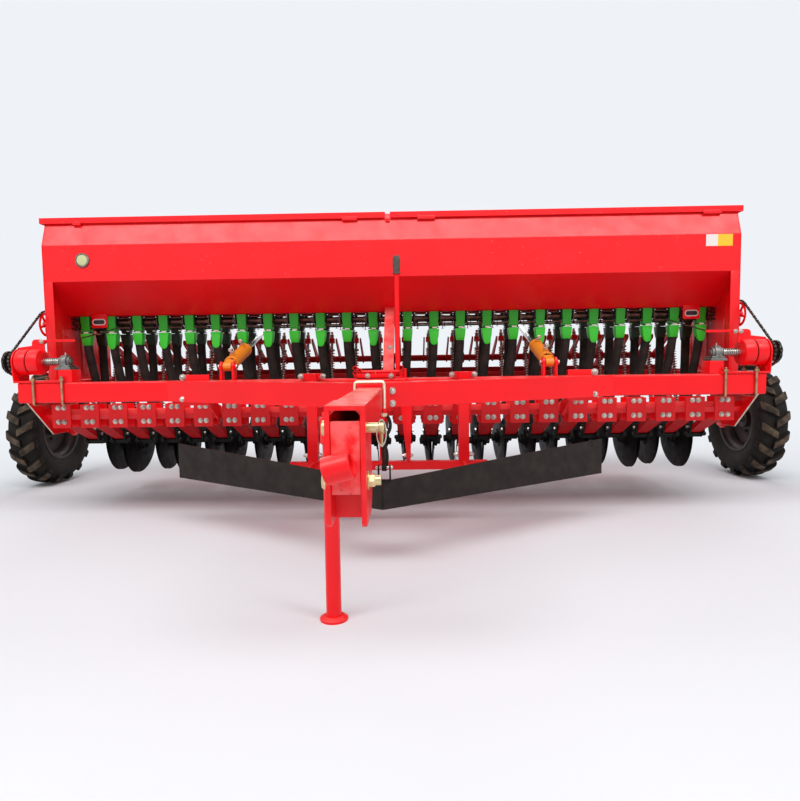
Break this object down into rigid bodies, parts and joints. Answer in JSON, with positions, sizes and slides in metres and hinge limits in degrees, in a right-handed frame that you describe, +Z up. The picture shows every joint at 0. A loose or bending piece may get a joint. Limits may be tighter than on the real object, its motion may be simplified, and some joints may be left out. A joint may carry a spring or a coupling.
{
  "type": "seed drill",
  "caption": "Trailed farm seed drill: long hopper over rows of double-disc openers, two land wheels, drawbar with jack, levelling board and lift cylinders.",
  "frame": {"origin": "on the ground, under the middle of the machine's length and width", "axes": "+Z up, -Y towards the hitch (the direction of travel), +X to the viewer's right in a front view"},
  "size_m": [4.89, 3.0404, 1.588],
  "materials": {
    "red_paint": "gloss",
    "dark_red_paint": "satin",
    "black_paint": "satin",
    "orange_paint": "gloss",
    "zinc_plate": "satin",
    "bright_steel": "ground",
    "rod_chrome": "polished",
    "cast_iron": "cast",
    "chain_steel": "oiled",
    "green_plastic": "gloss",
    "hose_rubber": "matt",
    "tyre_rubber": "matt",
    "rim_paint": "satin"
  },
  "bodies": {
    "frame": {"front_beam": "red_paint", "side_rail_left": "red_paint", "side_rail_right": "red_paint", "rear_axle_beam": "red_paint", "shaft_carrier": "dark_red_paint", "wheel_leg_left": "red_paint", "wheel_leg_right": "red_paint", "end_plate_left": "red_paint", "end_plate_right": "red_paint", "opener_bar": "dark_red_paint", "opener_clamps": "dark_red_paint", "drawbar_tube": "red_paint", "drawbar_brace_left": "red_paint", "drawbar_brace_right": "red_paint", "hitch_head": "red_paint", "hitch_tongue": "red_paint", "hitch_pins": "zinc_plate", "jack_sleeve": "red_paint", "levelling_frame": "red_paint", "levelling_board": "black_paint", "hopper_front_wall": "red_paint", "hopper_rear_wall": "red_paint", "hopper_floor": "dark_red_paint", "hopper_divider": "dark_red_paint", "hopper_end_left": "red_paint", "hopper_end_right": "red_paint", "cups_front": "green_plastic", "cups_rear": "green_plastic", "metering_shafts": "bright_steel", "hoses_front": "hose_rubber", "hoses_rear": "hose_rubber", "shaft_bearings": "dark_red_paint", "drive_bracket_left": "red_paint", "drive_bracket_right": "red_paint", "drive_line_left": "dark_red_paint", "drive_line_right": "dark_red_paint", "drive_chains_left": "chain_steel", "drive_chains_right": "chain_steel", "centre_strut": "red_paint", "hand_lever": "red_paint", "footboard": "dark_red_paint"},
    "openers": {"opener_arms": "dark_red_paint", "opener_bodies": "black_paint", "opener_discs": "black_paint"},
    "pressure_rods": {"pressure_rods": "zinc_plate"},
    "rock_shaft": {"rock_shaft": "dark_red_paint"},
    "barrel_left": {"cylinder_barrel_left": "orange_paint"},
    "barrel_right": {"cylinder_barrel_right": "orange_paint"},
    "rod_left": {"cylinder_rod_left": "rod_chrome"},
    "rod_right": {"cylinder_rod_right": "rod_chrome"},
    "lid_left": {"lid_left": "red_paint"},
    "lid_right": {"lid_right": "red_paint"},
    "jack": {"jack_leg": "red_paint"},
    "wheel_left": {"tyre_left": "tyre_rubber", "wheel_rim_left": "rim_paint", "wheel_axle_left": "bright_steel"},
    "wheel_right": {"tyre_right": "tyre_rubber", "wheel_rim_right": "rim_paint", "wheel_axle_right": "bright_steel"}
  },
  "joints": [
    {"name": "opener_lift", "type": "hinge", "parent": "frame", "child": "openers", "pos_m": [0, 0.29, 0.5], "axis": [1, 0, 0], "range_deg": [-22, 0], "deforming": ["hoses_front", "hoses_rear"]},
    {"name": "rod_tilt", "type": "hinge", "parent": "openers", "child": "pressure_rods", "pos_m": [0, 0.73, 0.43], "axis": [1, 0, 0], "range_deg": [0, 16.4]},
    {"name": "rock_shaft_turn", "type": "hinge", "parent": "frame", "child": "rock_shaft", "pos_m": [0, 1.04, 0.816], "axis": [1, 0, 0], "range_deg": [0, 50.1]},
    {"name": "lid_left_open", "type": "hinge", "parent": "frame", "child": "lid_left", "pos_m": [-0.9, 0.914, 1.58], "axis": [-1, 0, 0], "range_deg": [0, 95]},
    {"name": "lid_right_open", "type": "hinge", "parent": "frame", "child": "lid_right", "pos_m": [0.9, 0.914, 1.58], "axis": [-1, 0, 0], "range_deg": [0, 95]},
    {"name": "jack_slide", "type": "slide", "parent": "frame", "child": "jack", "axis": [0, 0, 1], "range_m": [0, 0.25]},
    {"name": "wheel_left_turn", "type": "hinge", "parent": "frame", "child": "wheel_left", "pos_m": [-2.35, 1.143, 0.377], "axis": [1, 0, 0], "continuous": true},
    {"name": "wheel_right_turn", "type": "hinge", "parent": "frame", "child": "wheel_right", "pos_m": [2.35, 1.143, 0.377], "axis": [1, 0, 0], "continuous": true},
    {"name": "barrel_left_tilt", "type": "hinge", "parent": "frame", "child": "barrel_left", "pos_m": [-0.795, 0.06, 0.788], "axis": [1, 0, 0], "range_deg": [0, 1.1]},
    {"name": "rod_left_slide", "type": "slide", "parent": "barrel_left", "child": "rod_left", "axis": [0, 0.9655, 0.2603], "range_m": [-0.2205, 0]},
    {"name": "barrel_right_tilt", "type": "hinge", "parent": "frame", "child": "barrel_right", "pos_m": [0.795, 0.06, 0.788], "axis": [1, 0, 0], "range_deg": [0, 1.1]},
    {"name": "rod_right_slide", "type": "slide", "parent": "barrel_right", "child": "rod_right", "axis": [0, 0.9655, 0.2603], "range_m": [-0.2205, 0]}
  ],
  "couplings": [
    {"joint": "rod_tilt", "follows": "opener_lift", "ratio": -0.741},
    {"joint": "rock_shaft_turn", "follows": "opener_lift", "ratio": -2.2727},
    {"joint": "barrel_left_tilt", "follows": "opener_lift", "ratio": -0.0477},
    {"joint": "barrel_right_tilt", "follows": "opener_lift", "ratio": -0.0477},
    {"joint": "rod_left_slide", "follows": "opener_lift", "m_per_rad": 0.5727},
    {"joint": "rod_right_slide", "follows": "opener_lift", "m_per_rad": 0.5727}
  ]
}
